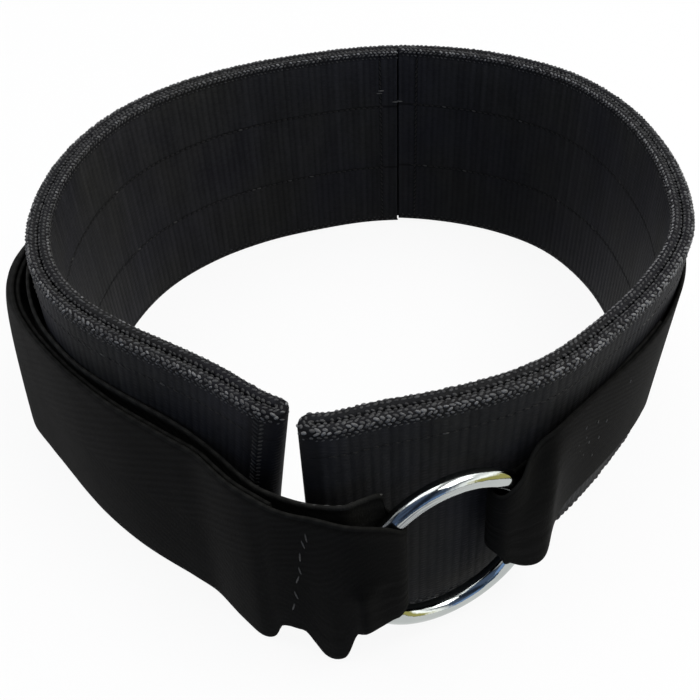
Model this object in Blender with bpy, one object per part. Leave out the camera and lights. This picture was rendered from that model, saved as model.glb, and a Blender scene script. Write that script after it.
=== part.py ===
"""A wide webbing lifting belt, closed by a cloth strap that folds back through a steel ring.

The belt stands on its lower edge on z = 0, with its open front towards -Y.
Sizes and tables are in millimetres, and the meshes are made in metres.
Angles are in degrees about the middle of the waist, seen from above, from +X towards +Y.
They run on past 180: the belt's left end is at about 258 degrees and its right end at 265.
"""
import bpy
import bmesh
import math
import numpy as np

MM = 0.001
CLEARANCE = 0.3

# The belt is one length of heavy webbing, folded back at both front ends into two plies
BELT_WIDTH = 101.6
PLY = 4.1
PLY_GAP = 0.5
BELT_EDGE_ROUNDING = 1.0
RIGHT_END_ANGLE = -95.4
LEFT_END_ANGLE = 258.3
SEAM_ANGLE = 84.0
SEAM_OPENING = 0.8
SEAM_STEP = 1.5
SEAM_STEP_REACH = 22.0

# Top outer edge of the belt, seen from above. Every table's first column is the angle;
# the names below it number the others.
RADIUS = 1
OUTLINE = (
    (-100.0, 134.5),
    (-93.0, 132.4),
    (-86.0, 127.8),
    (-76.0, 125.8),
    (-60.0, 124.9),
    (-45.0, 122.7),
    (-30.0, 124.2),
    (-15.0, 128.0),
    (0.0, 129.3),
    (15.0, 132.0),
    (30.0, 136.6),
    (45.0, 139.9),
    (60.0, 138.0),
    (75.0, 134.2),
    (90.0, 129.7),
    (105.0, 125.8),
    (120.0, 126.1),
    (135.0, 128.1),
    (150.0, 130.2),
    (165.0, 130.3),
    (180.0, 130.0),
    (195.0, 130.0),
    (206.0, 129.2),
    (216.0, 126.2),
    (227.0, 121.8),
    (238.0, 119.2),
    (247.0, 120.8),
    (257.0, 127.6),
    (268.0, 132.6),
    (278.0, 126.6),
    (290.0, 125.6),
)

# The left front leans, bottom outwards, and its webbing is drawn back along the belt.
# The right side leans the other way.
OUT_PER_HEIGHT, BACK_PER_HEIGHT = 1, 2
LEAN = (
    (-96.0, 0.03, 0.0),
    (-82.0, 0.028, 0.0),
    (-71.0, 0.0, 0.0),
    (-50.0, -0.05, 0.0),
    (-32.0, -0.055, 0.0),
    (-20.0, -0.04, 0.0),
    (-5.0, 0.0, 0.0),
    (175.0, 0.0, 0.0),
    (190.0, 0.025, 0.01),
    (205.0, 0.044, 0.05),
    (222.0, 0.042, 0.08),
    (240.0, 0.03, 0.12),
    (257.0, 0.04, 0.15),
    (266.0, 0.0, 0.15),
    (300.0, 0.0, 0.0),
)

# The ring of round steel, upright against the right front
RING_CENTRE = (29.5, -132.6, 43.2)
RING_RADIUS = 31.85
RING_WIRE_RADIUS = 3.4
RING_TURN = 26.0
RING_TILT = 2.3

# The closing strap of softer cloth, 3 inches wide, and the ply sewn behind its free end
STRAP = 1.4
STRAP_EDGE_ROUNDING = 0.3
FOLD_RADIUS = RING_WIRE_RADIUS + CLEARANCE + STRAP / 2 + 0.1
FIRST_LAYER = CLEARANCE + STRAP / 2
SECOND_LAYER = FIRST_LAYER + STRAP + CLEARANCE
THIRD_LAYER = SECOND_LAYER + STRAP + 2 * CLEARANCE

# Layers of the strap along the belt: how far the middle of the cloth stands off the belt's face,
# the heights of its two edges, and how far its lower edge flares outwards
STAND_OFF, BOTTOM, TOP, FLARE = 1, 2, 3, 4

# Folded end under the strap at the right, from its cut edge to the ring
TAB_UNDER = (
    (-28.0, FIRST_LAYER, 22.0, 79.0, 0.0),
    (-40.0, FIRST_LAYER, 21.0, 79.0, 0.0),
    (-52.0, FIRST_LAYER, 21.0, 76.0, 0.0),
    (-58.0, FIRST_LAYER + 0.2, 21.0, 73.0, 0.0),
)

# From the ring's right side round the back to the ring's left side
RUN = (
    (-54.0, SECOND_LAYER + 0.4, 23.5, 80.3, 0.0),
    (-50.0, SECOND_LAYER, 21.5, 80.5, 0.0),
    (-40.0, SECOND_LAYER, 22.0, 80.5, 0.0),
    (-29.0, SECOND_LAYER, 20.0, 80.5, 0.0),
    (-22.0, FIRST_LAYER + 0.8, 16.0, 80.0, 0.0),
    (-14.0, FIRST_LAYER, 10.0, 80.0, 0.0),
    (0.0, FIRST_LAYER, 3.2, 79.4, 0.0),
    (90.0, FIRST_LAYER, 3.2, 79.4, 0.0),
    (135.0, FIRST_LAYER, 3.2, 79.4, 0.0),
    (150.0, FIRST_LAYER, 3.1, 79.3, 0.0),
    (165.0, FIRST_LAYER + 0.25, 3.0, 79.2, 0.0),
    (178.0, 2.4, 3.0, 79.2, 0.0),
    (187.0, 4.9, 2.6, 79.0, 0.0),
    (194.0, 4.4, 2.4, 78.8, 0.0),
    (201.0, 3.0, 2.2, 78.4, 0.0),
    (209.0, 1.3, 2.0, 78.0, 0.0),
    (216.0, FIRST_LAYER, 2.0, 77.6, 0.0),
    (228.0, FIRST_LAYER, 2.0, 76.8, 0.0),
    (236.0, FIRST_LAYER + 0.4, 2.0, 76.0, 0.0),
    (243.0, FIRST_LAYER + 0.6, 2.5, 74.0, 0.0),
    (250.0, FIRST_LAYER + 0.8, 3.0, 70.5, 0.0),
    (255.0, 2.8, 5.0, 69.5, 0.0),
    (258.5, 3.8, 8.0, 70.0, 0.0),
    (262.0, 5.0, 11.0, 71.5, 0.0),
    (265.5, 7.4, 14.0, 75.0, 0.0),
)

# Free end, from the ring's left side back over the left front, with two pleats down to the floor
TAIL = (
    (268.9, 18.4, 20.0, 77.5, 0.0),
    (267.8, 16.6, 3.5, 77.0, 0.0),
    (266.5, 15.0, 0.5, 76.7, 1.0),
    (265.2, 14.1, 2.5, 76.5, 0.5),
    (264.0, 13.9, 12.0, 76.5, 0.0),
    (262.1, 13.5, 13.5, 76.4, 0.0),
    (260.5, 13.1, 12.0, 76.3, 0.0),
    (259.2, 12.6, 3.0, 76.3, 0.0),
    (257.4, 11.8, 0.5, 76.3, 0.5),
    (254.2, 10.9, 0.8, 76.3, 0.0),
    (247.0, 8.8, 0.8, 76.3, 0.0),
    (241.0, 8.8, 0.8, 76.6, 0.0),
    (235.0, 8.2, 0.8, 77.0, 0.0),
    (227.0, 6.8, 0.8, 77.0, 0.0),
    (219.0, 5.2, 0.8, 77.0, 0.0),
    (211.0, 5.1, 0.8, 77.0, 0.0),
    (205.0, 6.6, 0.8, 77.0, 0.4),
    (199.0, 9.2, 0.8, 77.0, 3.4),
    (193.0, 10.6, 0.8, 77.0, 9.2),
    (186.0, 9.8, 0.8, 77.0, 14.0),
    (178.0, 7.4, 0.8, 77.0, 10.5),
    (167.0, 5.4, 0.8, 77.0, 2.0),
    (156.0, THIRD_LAYER, 0.8, 77.0, 0.0),
    (140.0, THIRD_LAYER, 0.8, 77.0, 0.0),
)
PLEATS_END = 253.0

# Strap gathered through the ring: each row is a place along the ring, how far off its front,
# and the heights of the strap's two edges
RIGHT_BEHIND = (
    (34.0, -FOLD_RADIUS, 22.0, 72.0),
    (28.0, -FOLD_RADIUS, 23.0, 68.0),
    (23.0, -FOLD_RADIUS, 26.5, 66.0),
)
RIGHT_FOLD = {"reach": 15.8, "bottom": 36.0, "top": 63.5}
RIGHT_FRONT = (
    (22.0, FOLD_RADIUS, 28.5, 65.5),
    (25.5, FOLD_RADIUS, 25.2, 68.0),
    (29.5, FOLD_RADIUS + 0.2, 22.4, 73.0),
    (34.5, FOLD_RADIUS + 0.3, 20.8, 77.3),
    (38.6, 4.2, 21.6, 79.2),
    (41.2, 1.6, 24.0, 80.0),
    (42.8, -1.8, 25.5, 80.3),
)
LEFT_BEHIND = (
    (-34.0, -FOLD_RADIUS, 18.0, 78.5),
    (-27.5, -FOLD_RADIUS, 20.5, 78.0),
    (-23.0, -FOLD_RADIUS, 23.5, 75.0),
)
LEFT_FOLD = {"reach": 16.2, "bottom": 27.0, "top": 64.5}
LEFT_FRONT = (
    (-23.0, FOLD_RADIUS, 23.2, 73.0),
    (-27.5, FOLD_RADIUS, 22.5, 75.7),
    (-33.5, FOLD_RADIUS + 0.6, 23.0, 77.5),
)

BACKING_START = 261.0
BACKING_END = 152.0
BACKING_INSET = 0.8
STRAP_LIFT = 0.3
FLARE_CURVE = 0.4
BACK_END = 190.0

BELT_STEP = 8.0
BACK_STEP = 10.0
FRONT_STEP = 5.0
PLEAT_STEP = 2.4
FOLD_SEGMENTS = 6
FOLD_BLEND = 0.25
STRAP_SHARES = (0.0, 0.3, 0.6, 0.86, 1.0)
RING_SEGMENTS = 48
WIRE_SEGMENTS = 10


def clear_scene():
    for old in list(bpy.data.objects):
        bpy.data.objects.remove(old, do_unlink=True)


def make_material(name, colour, roughness, metallic=0.0):
    material = bpy.data.materials.new(name)
    material.use_nodes = True
    shader = material.node_tree.nodes["Principled BSDF"]
    shader.inputs["Base Color"].default_value = (*colour, 1.0)
    shader.inputs["Roughness"].default_value = roughness
    shader.inputs["Metallic"].default_value = metallic
    return material


def smooth(rows, column, at):
    """Value of a table's column at a place in its first column, on a smooth curve through the rows."""
    ordered = sorted(rows)
    places = [row[0] for row in ordered]
    values = [row[column] for row in ordered]
    last = len(ordered) - 1
    at = min(max(at, places[0]), places[last])
    i = min(max(np.searchsorted(places, at) - 1, 0), last - 1)
    gap = places[i + 1] - places[i]
    t = (at - places[i]) / gap

    def slope(k):
        before, after = max(k - 1, 0), min(k + 1, last)
        return (values[after] - values[before]) / (places[after] - places[before])

    start, end = values[i], values[i + 1]
    bend = 3 * (end - start) / gap - 2 * slope(i) - slope(i + 1)
    turn = slope(i) + slope(i + 1) - 2 * (end - start) / gap
    return start + gap * (slope(i) * t + bend * t ** 2 + turn * t ** 3)


def straight(rows, column, at):
    """Value of a table's column on straight lines between its rows."""
    ordered = sorted(rows)
    return float(np.interp(at, [row[0] for row in ordered], [row[column] for row in ordered]))


def rim(angle):
    """Top outer edge of the belt at an angle, with the outward and the forward direction there."""
    def place(a):
        radius = smooth(OUTLINE, RADIUS, a)
        return np.array([radius * math.cos(math.radians(a)), radius * math.sin(math.radians(a))])

    step = 1.5
    along = place(angle + step) - place(angle - step)
    along = along / np.linalg.norm(along)
    return place(angle), np.array([along[1], -along[0]]), along


def wall_place(angle, stand_off, height, ahead=0.0, drawn=False):
    """A place a stand-off outside the belt's outer face, which leans with height at the left front."""
    below = BELT_WIDTH - height
    if drawn:
        angle -= math.degrees(straight(LEAN, BACK_PER_HEIGHT, angle) * below / smooth(OUTLINE, RADIUS, angle))
    edge, out, along = rim(angle)
    flat = edge + out * (stand_off + straight(LEAN, OUT_PER_HEIGHT, angle) * below) + along * ahead
    return np.array([flat[0], flat[1], height])


def ring_place(along, off, height):
    """A place given along the ring from its centre, off its middle plane, and above the floor."""
    turn, tilt = math.radians(RING_TURN), math.radians(RING_TILT)
    across = np.array([math.cos(turn), math.sin(turn), 0.0])
    front = np.array([math.sin(turn), -math.cos(turn), 0.0])
    lean = math.tan(tilt) * (height - RING_CENTRE[2])
    spot = np.array(RING_CENTRE) + across * along + front * (off - lean)
    return np.array([spot[0], spot[1], height])


def link_mesh(name, points, faces, material, smooth_angle):
    mesh = bpy.data.meshes.new(name)
    mesh.from_pydata([tuple(float(v) * MM for v in point) for point in points], [], faces)
    solid = bmesh.new()
    solid.from_mesh(mesh)
    bmesh.ops.recalc_face_normals(solid, faces=solid.faces)
    solid.to_mesh(mesh)
    solid.free()
    mesh.materials.append(material)
    mesh.shade_smooth()
    mesh.set_sharp_from_angle(angle=math.radians(smooth_angle))
    piece = bpy.data.objects.new(name, mesh)
    bpy.data.collections["lifting_belt"].objects.link(piece)
    return piece


def side_of(middle):
    """Level unit direction out of a band's right side, at each of its middle points."""
    travel = np.gradient(middle, axis=0)
    side = np.stack([travel[..., 1], -travel[..., 0], np.zeros(middle.shape[:2])], axis=-1)
    return side / np.linalg.norm(side, axis=-1, keepdims=True)


def band(name, stations, thickness, rounding, material):
    """Loft a closed band of even thickness through upright sections, each a row of middle points."""
    middle = np.array(stations)
    side = side_of(middle)
    count, rows = middle.shape[:2]
    half = thickness / 2
    widths = [half - rounding, *[half] * rows, half - rounding]
    per_section = 2 * (rows + 2)
    points = []
    for row, out in zip(middle, side):
        low_inset = row[0] + (row[1] - row[0]) * rounding / np.linalg.norm(row[1] - row[0])
        high_inset = row[-1] + (row[-2] - row[-1]) * rounding / np.linalg.norm(row[-2] - row[-1])
        spine = [row[0], low_inset, *row[1:-1], high_inset, row[-1]]
        outs = [out[0], *out, out[-1]]
        points += [spot + n * width for spot, n, width in zip(spine, outs, widths)]
        points += [spot - n * width for spot, n, width in zip(spine, outs, widths)][::-1]
    faces = []
    for i in range(count - 1):
        for j in range(per_section):
            k = (j + 1) % per_section
            a, b = i * per_section, (i + 1) * per_section
            faces.append((a + j, a + k, b + k, b + j))
    faces.append(tuple(range(per_section)))
    faces.append(tuple((count - 1) * per_section + j for j in range(per_section)))
    return link_mesh(name, points, faces, material, 40)


def angles_between(start, end, step):
    """Angles from start to end, about a step of belt length apart."""
    length = abs(end - start) * math.radians(1) * 128.0
    return np.linspace(start, end, max(int(round(length / step)), 1) + 1)


def belt_stations():
    """Middle of the webbing: inner ply, left fold, outer ply all round, right fold, inner ply."""
    outer = -PLY / 2
    inner = -PLY * 1.5 - PLY_GAP
    fold = (PLY + PLY_GAP) / 2
    seam_half = math.degrees(SEAM_OPENING / 2 / 120.0)
    left_inner = angles_between(SEAM_ANGLE + seam_half, LEFT_END_ANGLE, BELT_STEP)
    path = [(a, inner, 0.0, 0.0) for a in left_inner]
    turns = [math.pi * k / FOLD_SEGMENTS for k in range(1, FOLD_SEGMENTS)]
    path += [(LEFT_END_ANGLE, inner + fold - fold * math.cos(t), fold * math.sin(t), 0.0) for t in turns]
    path += [(a, outer, 0.0, 0.0) for a in angles_between(LEFT_END_ANGLE, RIGHT_END_ANGLE, BELT_STEP)]
    path += [(RIGHT_END_ANGLE, inner + fold + fold * math.cos(t), -fold * math.sin(t), 0.0) for t in turns]
    for a in angles_between(RIGHT_END_ANGLE, SEAM_ANGLE - seam_half, BELT_STEP):
        raised = SEAM_STEP * max(0.0, 1 - (SEAM_ANGLE - a) / SEAM_STEP_REACH) ** 2
        path.append((a, inner, 0.0, raised))
    heights = (0.0, BELT_WIDTH)
    return [[wall_place(a, depth, z + raised, ahead, True) for z in heights]
            for a, depth, ahead, raised in path]


def make_belt(material):
    return band("belt_webbing", belt_stations(), PLY, BELT_EDGE_ROUNDING, material)


def layer_section(rows, angle):
    """One upright section of a layer of the strap on the belt."""
    stand_off = smooth(rows, STAND_OFF, angle)
    bottom = max(smooth(rows, BOTTOM, angle), STRAP_LIFT)
    top = smooth(rows, TOP, angle)
    flare = smooth(rows, FLARE, angle)
    section = []
    for share in STRAP_SHARES:
        flared = stand_off + flare * (1 - share) ** FLARE_CURVE
        section.append(wall_place(angle, flared, bottom + (top - bottom) * share))
    return section


def layer_sections(rows, start, end, step):
    return [layer_section(rows, angle) for angle in angles_between(start, end, step)]


def gather_section(along, off, bottom, top):
    """One upright section of the strap where it is gathered through the ring."""
    return [ring_place(along, off, bottom + (top - bottom) * share) for share in STRAP_SHARES]


def gather_sections(side, behind, fold, front):
    """The strap round one side of the ring, from behind it to its front; side is -1 or 1."""
    centre = side * (fold["reach"] + FOLD_RADIUS)
    turns = [math.pi * k / FOLD_SEGMENTS for k in range(FOLD_SEGMENTS + 1)]
    middle = []
    for t in turns:
        near = (1 - math.sin(t)) ** 2
        _, _, edge_bottom, edge_top = behind[-1] if t < math.pi / 2 else front[0]
        bottom = fold["bottom"] + (edge_bottom - fold["bottom"]) * near
        top = fold["top"] + (edge_top - fold["top"]) * near * FOLD_BLEND
        along = centre - side * FOLD_RADIUS * math.sin(t)
        middle.append(gather_section(along, -FOLD_RADIUS * math.cos(t), bottom, top))
    return [gather_section(*row) for row in behind] + middle + [gather_section(*row) for row in front]


def tail_angles():
    pleats = angles_between(TAIL[0][0], PLEATS_END, PLEAT_STEP)
    return [*pleats, *angles_between(PLEATS_END, TAIL[-1][0], FRONT_STEP)[1:]]


def strap_stations():
    """The closing strap from its end sewn behind the ring's right side to its free end."""
    stations = layer_sections(TAB_UNDER, TAB_UNDER[0][0], TAB_UNDER[-1][0], FRONT_STEP)
    stations += gather_sections(1, RIGHT_BEHIND, RIGHT_FOLD, RIGHT_FRONT)
    stations += layer_sections(RUN, RUN[0][0], 0.0, FRONT_STEP)
    stations += layer_sections(RUN, 0.0, BACK_END, BACK_STEP)[1:]
    stations += layer_sections(RUN, BACK_END, RUN[-1][0], FRONT_STEP)[1:]
    stations += gather_sections(-1, LEFT_BEHIND, LEFT_FOLD, LEFT_FRONT)
    return stations + [layer_section(TAIL, angle) for angle in tail_angles()]


def make_strap(material):
    return band("closing_strap", strap_stations(), STRAP, STRAP_EDGE_ROUNDING, material)


def make_backing(material):
    """The ply sewn behind the free end, from the upright row of stitches."""
    tail = np.array([layer_section(TAIL, angle) for angle in tail_angles()])
    kept = [BACKING_END <= angle <= BACKING_START for angle in tail_angles()]
    middle = (tail + side_of(tail) * (STRAP + 1.5 * CLEARANCE))[kept]
    middle[:, -1, 2] -= BACKING_INSET
    return band("strap_backing", middle, STRAP, STRAP_EDGE_ROUNDING, material)


def make_ring(material):
    bpy.ops.mesh.primitive_torus_add(
        major_segments=RING_SEGMENTS, minor_segments=WIRE_SEGMENTS,
        major_radius=RING_RADIUS * MM, minor_radius=RING_WIRE_RADIUS * MM,
        location=[value * MM for value in RING_CENTRE],
        rotation=(math.radians(90 - RING_TILT), 0.0, math.radians(RING_TURN)))
    ring = bpy.context.object
    ring.name = "steel_ring"
    ring.data.name = "steel_ring"
    ring.data.materials.append(material)
    ring.data.shade_smooth()
    for collection in list(ring.users_collection):
        collection.objects.unlink(ring)
    bpy.data.collections["lifting_belt"].objects.link(ring)
    return ring


def centre_on_origin(pieces):
    """Move all pieces together, so that their common box is centred over the origin."""
    bpy.context.view_layer.update()
    corners = np.array([piece.matrix_world @ vertex.co for piece in pieces for vertex in piece.data.vertices])
    middle = (corners.min(axis=0) + corners.max(axis=0)) / 2
    for piece in pieces:
        piece.location.x -= middle[0]
        piece.location.y -= middle[1]


def main():
    clear_scene()
    collection = bpy.data.collections.new("lifting_belt")
    bpy.context.scene.collection.children.link(collection)
    webbing = make_material("charcoal_webbing", (0.018, 0.018, 0.021), 0.72)
    cloth = make_material("black_twill", (0.012, 0.012, 0.011), 0.85)
    steel = make_material("polished_steel", (0.72, 0.73, 0.75), 0.12, 1.0)
    pieces = [make_belt(webbing), make_strap(cloth), make_backing(cloth), make_ring(steel)]
    centre_on_origin(pieces)


main()
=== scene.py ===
"""Looks of the lifting belt: ribbed webbing with looped edges, a twill strap and a polished ring.

Sizes and tables are in millimetres and degrees, as in the CAD source, and meshes are made in metres.
Angles go about the middle of the waist, seen from above, from +X towards +Y, and run on past 180.
"""
import bpy
import math
import numpy as np
from mathutils import Matrix, Vector


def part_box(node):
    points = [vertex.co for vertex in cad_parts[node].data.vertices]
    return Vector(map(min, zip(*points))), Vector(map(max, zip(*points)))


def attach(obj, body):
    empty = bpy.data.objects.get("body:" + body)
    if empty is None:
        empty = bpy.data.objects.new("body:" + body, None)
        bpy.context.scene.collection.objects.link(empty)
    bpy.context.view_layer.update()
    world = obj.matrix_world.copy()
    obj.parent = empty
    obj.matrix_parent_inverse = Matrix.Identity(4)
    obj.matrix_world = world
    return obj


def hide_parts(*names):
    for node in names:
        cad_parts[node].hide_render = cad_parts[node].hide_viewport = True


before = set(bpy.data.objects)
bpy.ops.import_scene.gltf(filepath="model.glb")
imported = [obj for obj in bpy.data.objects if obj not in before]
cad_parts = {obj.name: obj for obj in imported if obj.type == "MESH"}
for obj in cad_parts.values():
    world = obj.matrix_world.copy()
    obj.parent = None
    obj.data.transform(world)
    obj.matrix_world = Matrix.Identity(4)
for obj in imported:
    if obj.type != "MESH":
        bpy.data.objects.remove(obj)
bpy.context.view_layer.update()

MM = 0.001
UP = np.array([0.0, 0.0, 1.0])
random = np.random.default_rng(7)

# The belt's shape, as in the CAD source
CLEARANCE = 0.3
BELT_WIDTH = 101.6
PLY = 4.1
PLY_GAP = 0.5
RIGHT_END_ANGLE = -95.4
LEFT_END_ANGLE = 258.3
SEAM_ANGLE = 84.0
SEAM_OPENING = 0.8
SEAM_STEP = 1.5
SEAM_STEP_REACH = 22.0

# Top outer edge of the belt: angle, radius
RADIUS = 1
OUTLINE = (
    (-100, 134.5), (-93, 132.4), (-86, 127.8), (-76, 125.8), (-60, 124.9),
    (-45, 122.7), (-30, 124.2), (-15, 128), (0, 129.3), (15, 132),
    (30, 136.6), (45, 139.9), (60, 138), (75, 134.2), (90, 129.7),
    (105, 125.8), (120, 126.1), (135, 128.1), (150, 130.2), (165, 130.3),
    (180, 130), (195, 130), (206, 129.2), (216, 126.2), (227, 121.8),
    (238, 119.2), (247, 120.8), (257, 127.6), (268, 132.6), (278, 126.6),
    (290, 125.6),
)

# Lean of the belt by angle: outwards and back round it, per millimetre below the top
OUT_PER_HEIGHT, BACK_PER_HEIGHT = 1, 2
LEAN = (
    (-96, 0.03, 0), (-82, 0.028, 0), (-71, 0, 0), (-50, -0.05, 0),
    (-32, -0.055, 0), (-20, -0.04, 0), (-5, 0, 0), (175, 0, 0),
    (190, 0.025, 0.01), (205, 0.044, 0.05), (222, 0.042, 0.08), (240, 0.03, 0.12),
    (257, 0.04, 0.15), (266, 0, 0.15), (300, 0, 0),
)

RING_CENTRE = (29.5, -132.6, 43.2)
RING_RADIUS = 31.85
RING_WIRE_RADIUS = 3.4
RING_TURN = 26.0
RING_TILT = 2.3

STRAP = 1.4
FOLD_RADIUS = RING_WIRE_RADIUS + CLEARANCE + STRAP / 2 + 0.1
FIRST_LAYER = CLEARANCE + STRAP / 2
SECOND_LAYER = FIRST_LAYER + STRAP + CLEARANCE
THIRD_LAYER = SECOND_LAYER + STRAP + 2 * CLEARANCE

# Layers of the strap: angle, stand-off from the belt's face, bottom, top, and for the tail its flare
STAND_OFF, BOTTOM, TOP, FLARE = 1, 2, 3, 4
TAB_UNDER = (
    (-28, FIRST_LAYER, 22, 79), (-40, FIRST_LAYER, 21, 79),
    (-52, FIRST_LAYER, 21, 72.5), (-58, FIRST_LAYER + 0.2, 21, 69),
)
RUN = (
    (-54, SECOND_LAYER + 0.4, 23.5, 80.3), (-50, SECOND_LAYER, 21.5, 80.5),
    (-40, SECOND_LAYER, 22, 80.5), (-29, SECOND_LAYER, 20, 80.5),
    (-22, FIRST_LAYER + 0.8, 16, 80), (-14, FIRST_LAYER, 10, 80),
    (0, FIRST_LAYER, 3.2, 79.4), (90, FIRST_LAYER, 3.2, 79.4),
    (135, FIRST_LAYER, 3.2, 79.4), (150, FIRST_LAYER, 3.1, 79.3),
    (165, FIRST_LAYER + 0.25, 3, 79.2), (178, 2.4, 3, 79.2),
    (187, 4.9, 2.6, 79), (194, 4.4, 2.4, 78.8),
    (201, 3, 2.2, 78.4), (209, 1.3, 2, 78),
    (216, FIRST_LAYER, 2, 77.6), (228, FIRST_LAYER, 2, 76.8),
    (236, FIRST_LAYER + 0.4, 2, 76), (243, FIRST_LAYER + 0.6, 2.5, 74),
    (250, FIRST_LAYER + 0.8, 3, 70.5), (255, 2.8, 5, 69.5),
    (258.5, 3.8, 8, 70), (262, 5, 11, 71.5),
    (265.5, 7.4, 14, 75),
)
TAIL = (
    (268.9, 18.4, 21, 78.6, 0), (267.8, 16.6, 3.5, 78.5, 0),
    (266.5, 15, 0.5, 78, 1), (265.2, 14.1, 2.5, 77.4, 0.5),
    (264, 13.9, 12, 76.9, 0), (262.1, 13.5, 13.5, 76.4, 0),
    (260.5, 13.1, 12, 76.3, 0), (259.2, 12.6, 3, 76.3, 0),
    (257.4, 11.8, 0.5, 76.3, 0.5), (254.2, 10.9, 0.8, 76.3, 0),
    (247, 8.8, 0.8, 76.3, 0), (241, 8.8, 0.8, 76.6, 0),
    (235, 8.2, 0.8, 77, 0), (227, 6.8, 0.8, 77, 0),
    (219, 5.2, 0.8, 77, 0), (211, 5.1, 0.8, 77, 0),
    (205, 6.6, 0.8, 77, 0.4), (199, 9.2, 0.8, 77, 3.4),
    (193, 10.6, 0.8, 77, 9.2), (186, 9.8, 0.8, 77, 14),
    (178, 7.4, 0.8, 77, 10.5), (167, 5.4, 0.8, 77, 2),
    (156, THIRD_LAYER, 0.8, 77, 0), (140, THIRD_LAYER, 0.8, 77, 0),
)
PLEATS_END = 253.0

# Strap gathered through the ring: place along the ring, off its front, bottom, top, lean back of the top
RIGHT_BEHIND = (
    (34, -FOLD_RADIUS, 22, 67),
    (28, -FOLD_RADIUS, 23, 64),
    (23, -FOLD_RADIUS, 26.5, 62.5),
)
RIGHT_FOLD = {"reach": 15.8, "bottom": 36.0, "top": 63.5, "blend_behind": 0.8, "blend_front": 0.7}
RIGHT_FRONT = (
    (22, FOLD_RADIUS, 28.5, 67.2, 0),
    (25.5, FOLD_RADIUS, 25.2, 69.6, 1),
    (29.5, FOLD_RADIUS + 0.2, 22.4, 73.5, 4.2),
    (34.5, FOLD_RADIUS + 0.3, 20.8, 77.3, 6.2),
    (38.6, 4.2, 21.6, 79.2, 5.4),
    (41.2, 1.6, 24, 80, 3),
    (42.8, -1.8, 25.5, 80.3, 0.6),
)
LEFT_BEHIND = (
    (-34, -FOLD_RADIUS, 18, 78.5),
    (-27.5, -FOLD_RADIUS, 20.5, 78.3),
    (-21.6, -FOLD_RADIUS, 24, 77.2),
)
LEFT_FOLD = {"reach": 16.2, "bottom": 27.0, "top": 65.8, "blend_behind": 0.5, "blend_front": 0.6}
LEFT_FRONT = (
    (-23, FOLD_RADIUS, 25, 72.5),
    (-27.5, FOLD_RADIUS, 24, 75.7),
    (-33.5, FOLD_RADIUS + 0.6, 24.2, 78),
)
BACKING_START = 261.0
BACKING_END = 152.0
BACKING_INSET = 0.8
STRAP_WIDTH = 76.2
BACKING_WIDTH = 75.0
STRAP_LIFT = 0.3
FLARE_CURVE = 0.4
BACK_END = 190.0
BACK_STEP = 10.0
FRONT_STEP = 5.0
PLEAT_STEP = 2.4
FOLD_SEGMENTS = 6

# Camera, fitted to the photograph
CAMERA_PLACE = (12.0, -309.0, 296.56)
CAMERA_DOWN = 42.671
CAMERA_ROLL = 0.252
FOCAL_PIXELS = 899.5
PICTURE_PIXELS = 700
VIEW_MIDDLE_PIXELS = (395.0, 350.0)
SENSOR = 36.0

# Fineness of the meshes, and steps at which directions and lengths are read
BELT_STEP = 0.55
BELT_ROWS = 9
EDGE_ROWS = 7
FOLD_ROWS = 18
STRAP_STEP = 1.3
STRAP_FINE_ROWS = 34
RING_SEGMENTS = 160
WIRE_SEGMENTS = 32
MEAN_RADIUS = 128.0
SEAM_RADIUS = 120.0
ANGLE_STEP = 1.5
TRAVEL_STEP = 0.4
LENGTH_HEIGHT = BELT_WIDTH * 0.7

# Woven patterns
RIB_PITCH = 3.16
RIB_DEPTH = 0.12
RIB_ROUNDNESS = 0.7
KNUCKLE_PITCH = 1.4
EDGE_ROUNDING = 1.6
OUTER_ROW_OFF = 0.45
TWILL_PITCH = 3.0
TWILL_SLOPE = 30.0
CREASE_REACH = 38.0
CREASE_BUMP = 0.0006

# Tone of the strap by how far in from its edge, as a share of the border's reach: bright rim, dark
# channel, lighter border, plain cloth
BORDER_REACH = 10.0
BORDER_TONES = ((0.04, 0.8), (0.12, 0.32), (0.26, 0.42), (0.4, 0.62), (0.65, 0.60), (0.95, 0.5))
BORDER_GAIN = 2.0

# Bends of the strap that are evened out
BEND_REACH = 14.0
BEND_PASSES = 45
TAIL_BEND_REACH = 11.0
TAIL_BEND_ABOVE = 0.35
SOFTEN_BLEND = 0.25

# Painted light and painted shade on the strap: painted light deep in the left pocket and in the right
# gather, where the cloth lies in shade, and painted shade along the top behind the right gather, with the
# stations where each starts or ends
PAINTED_TONE_GAIN = 0.9
HIDDEN_STATIONS = [34, 40]
SEEN_STATIONS = [1, 3]
LEFT_GATHER_STATION = 4
GATHER_PAINTED_LIGHT = 0.4
GATHER_REACH = 26.0
TOP_SHADE_STATION = 3
TOP_SHADE_REACH = 75.0
TOP_PAINTED_SHADE = 0.55
TOP_SHADE_HEIGHTS = (20.0, 33.0)

# Part of the ring with brushed streaks whose darker colour is a painted dark reflection: turn round it and
# reach, in radians
DARK_REFLECTION_TURN = 2.35
DARK_REFLECTION_REACH = 0.65

# Colours, as shares of light thrown back
WEBBING_DARK = (0.0050, 0.0050, 0.0053)
WEBBING_MIDDLE = (0.0138, 0.0138, 0.0147)
WEBBING_LIGHT = (0.0310, 0.0308, 0.0318)
STRAP_DARK = (0.0019, 0.0019, 0.0017)
STRAP_MIDDLE = (0.0050, 0.0050, 0.0047)
STRAP_LIGHT = (0.0112, 0.0111, 0.0102)
WEBBING_COOL = (0.93, 0.94, 1.06)
WEBBING_WARM = (1.08, 1.08, 1.0)
EDGE_THREAD = ((0.012, 0.012, 0.0125), (0.16, 0.16, 0.162))
STITCH_THREAD = ((0.0050, 0.0050, 0.0053), (0.13, 0.13, 0.125))
STEEL_DARK = (0.42, 0.445, 0.44)
STEEL_LIGHT = (0.48, 0.505, 0.49)
# Darker colour of the streaks on the ring, a painted dark reflection
STEEL_PAINTED_DARK_REFLECTION = (0.10, 0.10, 0.115)

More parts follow.
